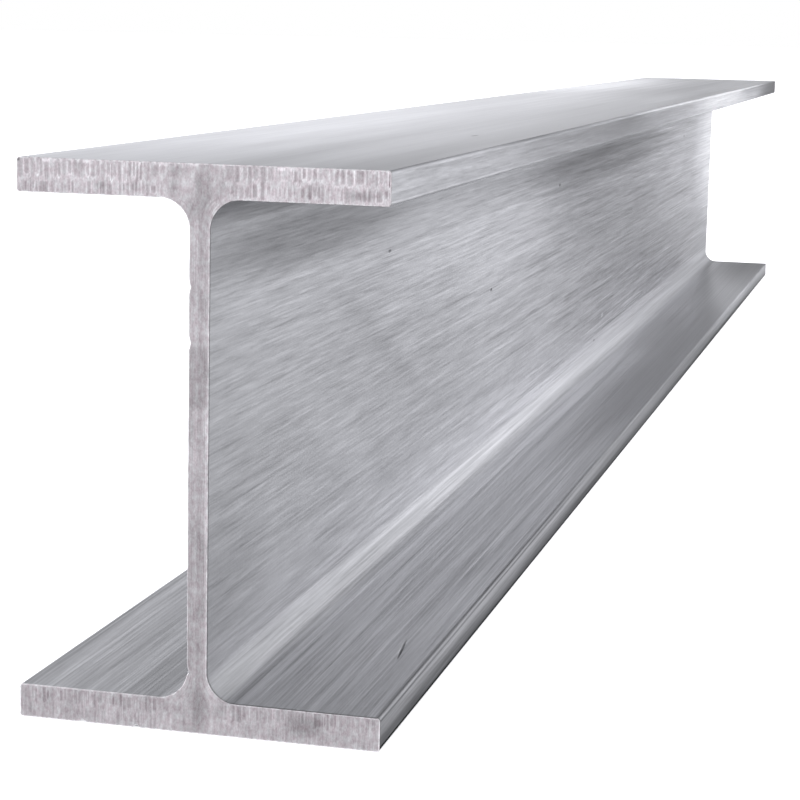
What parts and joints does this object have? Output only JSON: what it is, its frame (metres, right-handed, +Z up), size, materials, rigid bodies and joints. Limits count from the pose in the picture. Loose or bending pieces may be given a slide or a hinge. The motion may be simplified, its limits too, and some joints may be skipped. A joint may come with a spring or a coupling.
{
  "type": "stainless steel h-beam",
  "caption": "Straight rolled H-section beam with parallel flanges, filleted web roots and square sawn ends, used as structural stock for frames and supports.",
  "frame": {"origin": "middle of the bottom flange's underside, half-way along the beam", "axes": "+X across the flanges, +Y along the beam away from the end in the foreground, +Z up the web"},
  "size_m": [0.1, 1.2, 0.15],
  "materials": {
    "stainless_steel": "rolled, pickled and line-brushed along the length, with bare sawn ends"
  },
  "bodies": {
    "root": {"h_beam": "stainless_steel"}
  },
  "joints": []
}
